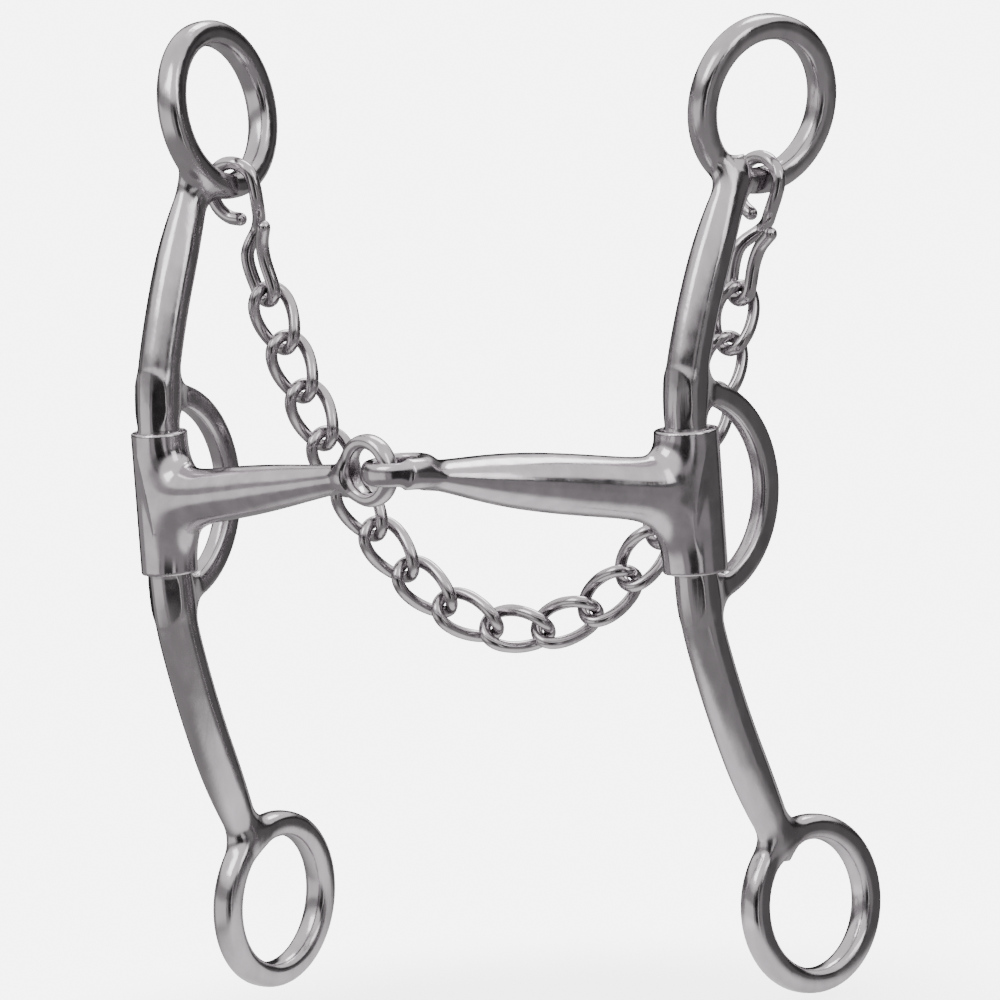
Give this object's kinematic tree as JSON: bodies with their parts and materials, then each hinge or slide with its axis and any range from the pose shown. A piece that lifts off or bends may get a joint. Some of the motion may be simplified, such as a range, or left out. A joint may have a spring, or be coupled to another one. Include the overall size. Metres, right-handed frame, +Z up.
{
  "type": "curb bit",
  "caption": "Loose-shank curb bit with jointed mouthpiece, swivelling cheeks with purchase, snaffle and rein rings, curb hooks and twisted-link curb chain.",
  "frame": {"origin": "centre joint of the mouthpiece, on its fold axis", "axes": "+Z up along the cheek sleeves, +X from the left cheek to the right cheek, +Y back toward the curb chain"},
  "size_m": [0.1489, 0.09, 0.2124],
  "materials": {
    "cheek_steel": "polished cast stainless steel",
    "mouth_steel": "polished stainless steel",
    "hook_steel": "polished wire",
    "chain_steel": "polished wire, a little duller"
  },
  "bodies": {
    "mouth_left": {"mouth_left": "mouth_steel"},
    "mouth_right": {"mouth_right": "mouth_steel"},
    "cheek_left": {"cheek_left": "cheek_steel"},
    "cheek_right": {"cheek_right": "cheek_steel"},
    "curb_hook_left": {"curb_hook_left": "hook_steel"},
    "curb_hook_right": {"curb_hook_right": "hook_steel"},
    "chain_link_01": {"chain_link_01": "chain_steel"},
    "chain_link_02": {"chain_link_02": "chain_steel"},
    "chain_link_03": {"chain_link_03": "chain_steel"},
    "chain_link_04": {"chain_link_04": "chain_steel"},
    "chain_link_05": {"chain_link_05": "chain_steel"},
    "chain_link_06": {"chain_link_06": "chain_steel"},
    "chain_link_07": {"chain_link_07": "chain_steel"},
    "chain_link_08": {"chain_link_08": "chain_steel"},
    "chain_link_09": {"chain_link_09": "chain_steel"},
    "chain_link_10": {"chain_link_10": "chain_steel"},
    "chain_link_11": {"chain_link_11": "chain_steel"},
    "chain_link_12": {"chain_link_12": "chain_steel"},
    "chain_link_13": {"chain_link_13": "chain_steel"},
    "chain_link_14": {"chain_link_14": "chain_steel"},
    "chain_link_15": {"chain_link_15": "chain_steel"},
    "chain_link_16": {"chain_link_16": "chain_steel"},
    "chain_link_17": {"chain_link_17": "chain_steel"}
  },
  "joints": [
    {"name": "mouth_fold", "type": "hinge", "parent": "mouth_left", "child": "mouth_right", "pos_m": [0, 0, 0], "axis": [0, 0, 1], "range_deg": [-18, 12]},
    {"name": "cheek_left_swivel", "type": "hinge", "parent": "mouth_left", "child": "cheek_left", "pos_m": [-0.05547, 0.04104, -0.01], "axis": [0, 0, 1], "range_deg": [-12, 12]},
    {"name": "cheek_right_swivel", "type": "hinge", "parent": "mouth_right", "child": "cheek_right", "pos_m": [0.05547, 0.04104, -0.0148], "axis": [0, 0, 1], "range_deg": [-12, 12]},
    {"name": "curb_hook_left_swing", "type": "hinge", "parent": "cheek_left", "child": "curb_hook_left", "pos_m": [-0.04057, 0.06498, 0.05316], "axis": [-0.0053, -1, 0], "range_deg": [-3, 3]},
    {"name": "chain_link_01_swing", "type": "hinge", "parent": "curb_hook_left", "child": "chain_link_01", "pos_m": [-0.03495, 0.06495, 0.02983], "axis": [-0.0053, -1, 0], "range_deg": [-4, 4]},
    {"name": "chain_link_02_swing", "type": "hinge", "parent": "chain_link_01", "child": "chain_link_02", "pos_m": [-0.03207, 0.06494, 0.01921], "axis": [-0.0053, -1, 0], "range_deg": [-4, 4]},
    {"name": "chain_link_03_swing", "type": "hinge", "parent": "chain_link_02", "child": "chain_link_03", "pos_m": [-0.02884, 0.06492, 0.0087], "axis": [-0.0053, -1, 0], "range_deg": [-5, 5]},
    {"name": "chain_link_04_swing", "type": "hinge", "parent": "chain_link_03", "child": "chain_link_04", "pos_m": [-0.02514, 0.0649, -0.00166], "axis": [-0.0053, -1, 0], "range_deg": [-5, 5]},
    {"name": "chain_link_05_swing", "type": "hinge", "parent": "chain_link_04", "child": "chain_link_05", "pos_m": [-0.02083, 0.06488, -0.01178], "axis": [-0.0053, -1, 0], "range_deg": [-5, 5]},
    {"name": "chain_link_06_swing", "type": "hinge", "parent": "chain_link_05", "child": "chain_link_06", "pos_m": [-0.0157, 0.06485, -0.02151], "axis": [-0.0053, -1, 0], "range_deg": [-5, 5]},
    {"name": "chain_link_07_swing", "type": "hinge", "parent": "chain_link_06", "child": "chain_link_07", "pos_m": [-0.00945, 0.06482, -0.03057], "axis": [-0.0053, -1, 0], "range_deg": [-4, 4]},
    {"name": "chain_link_08_swing", "type": "hinge", "parent": "chain_link_07", "child": "chain_link_08", "pos_m": [-0.00167, 0.06477, -0.03834], "axis": [-0.0053, -1, 0], "range_deg": [-6, 6]},
    {"name": "chain_link_09_swing", "type": "hinge", "parent": "chain_link_08", "child": "chain_link_09", "pos_m": [0.00796, 0.06472, -0.04364], "axis": [-0.0053, -1, 0], "range_deg": [-13, 13]},
    {"name": "curb_hook_right_swing", "type": "hinge", "parent": "cheek_right", "child": "curb_hook_right", "pos_m": [0.07128, 0.06439, 0.04836], "axis": [-0.0053, -1, 0], "range_deg": [-8, 8]},
    {"name": "chain_link_17_swing", "type": "hinge", "parent": "curb_hook_right", "child": "chain_link_17", "pos_m": [0.06538, 0.06442, 0.0251], "axis": [-0.0053, -1, 0], "range_deg": [-5, 5]},
    {"name": "chain_link_16_swing", "type": "hinge", "parent": "chain_link_17", "child": "chain_link_16", "pos_m": [0.06236, 0.06443, 0.01452], "axis": [-0.0053, -1, 0], "range_deg": [-5, 5]},
    {"name": "chain_link_15_swing", "type": "hinge", "parent": "chain_link_16", "child": "chain_link_15", "pos_m": [0.05893, 0.06445, 0.00407], "axis": [-0.0053, -1, 0], "range_deg": [-5, 5]},
    {"name": "chain_link_14_swing", "type": "hinge", "parent": "chain_link_15", "child": "chain_link_14", "pos_m": [0.05498, 0.06447, -0.0062], "axis": [-0.0053, -1, 0], "range_deg": [-5, 5]},
    {"name": "chain_link_13_swing", "type": "hinge", "parent": "chain_link_14", "child": "chain_link_13", "pos_m": [0.05034, 0.0645, -0.01617], "axis": [-0.0053, -1, 0], "range_deg": [-6, 6]},
    {"name": "chain_link_12_swing", "type": "hinge", "parent": "chain_link_13", "child": "chain_link_12", "pos_m": [0.04476, 0.06453, -0.02565], "axis": [-0.0053, -1, 0], "range_deg": [-6, 6]},
    {"name": "chain_link_11_swing", "type": "hinge", "parent": "chain_link_12", "child": "chain_link_11", "pos_m": [0.03788, 0.06456, -0.03424], "axis": [-0.0053, -1, 0], "range_deg": [-5, 5]},
    {"name": "chain_link_10_swing", "type": "hinge", "parent": "chain_link_11", "child": "chain_link_10", "pos_m": [0.02929, 0.06461, -0.0411], "axis": [-0.0053, -1, 0], "range_deg": [-5, 5]}
  ],
  "couplings": [
    {"joint": "cheek_left_swivel", "follows": "mouth_fold", "ratio": 0.5},
    {"joint": "cheek_right_swivel", "follows": "mouth_fold", "ratio": -0.5},
    {"joint": "curb_hook_left_swing", "follows": "mouth_fold", "ratio": 0.049904},
    {"joint": "chain_link_01_swing", "follows": "mouth_fold", "ratio": -0.10197},
    {"joint": "chain_link_02_swing", "follows": "mouth_fold", "ratio": -0.10904},
    {"joint": "chain_link_03_swing", "follows": "mouth_fold", "ratio": -0.11744},
    {"joint": "chain_link_04_swing", "follows": "mouth_fold", "ratio": -0.12643},
    {"joint": "chain_link_05_swing", "follows": "mouth_fold", "ratio": -0.13257},
    {"joint": "chain_link_06_swing", "follows": "mouth_fold", "ratio": -0.12325},
    {"joint": "chain_link_07_swing", "follows": "mouth_fold", "ratio": -0.056981},
    {"joint": "chain_link_08_swing", "follows": "mouth_fold", "ratio": 0.17074},
    {"joint": "chain_link_09_swing", "follows": "mouth_fold", "ratio": 0.58754},
    {"joint": "curb_hook_right_swing", "follows": "mouth_fold", "ratio": -0.27941},
    {"joint": "chain_link_17_swing", "follows": "mouth_fold", "ratio": 0.11604},
    {"joint": "chain_link_16_swing", "follows": "mouth_fold", "ratio": 0.12835},
    {"joint": "chain_link_15_swing", "follows": "mouth_fold", "ratio": 0.14463},
    {"joint": "chain_link_14_swing", "follows": "mouth_fold", "ratio": 0.1656},
    {"joint": "chain_link_13_swing", "follows": "mouth_fold", "ratio": 0.18943},
    {"joint": "chain_link_12_swing", "follows": "mouth_fold", "ratio": 0.2022},
    {"joint": "chain_link_11_swing", "follows": "mouth_fold", "ratio": 0.14373},
    {"joint": "chain_link_10_swing", "follows": "mouth_fold", "ratio": -0.14481}
  ]
}
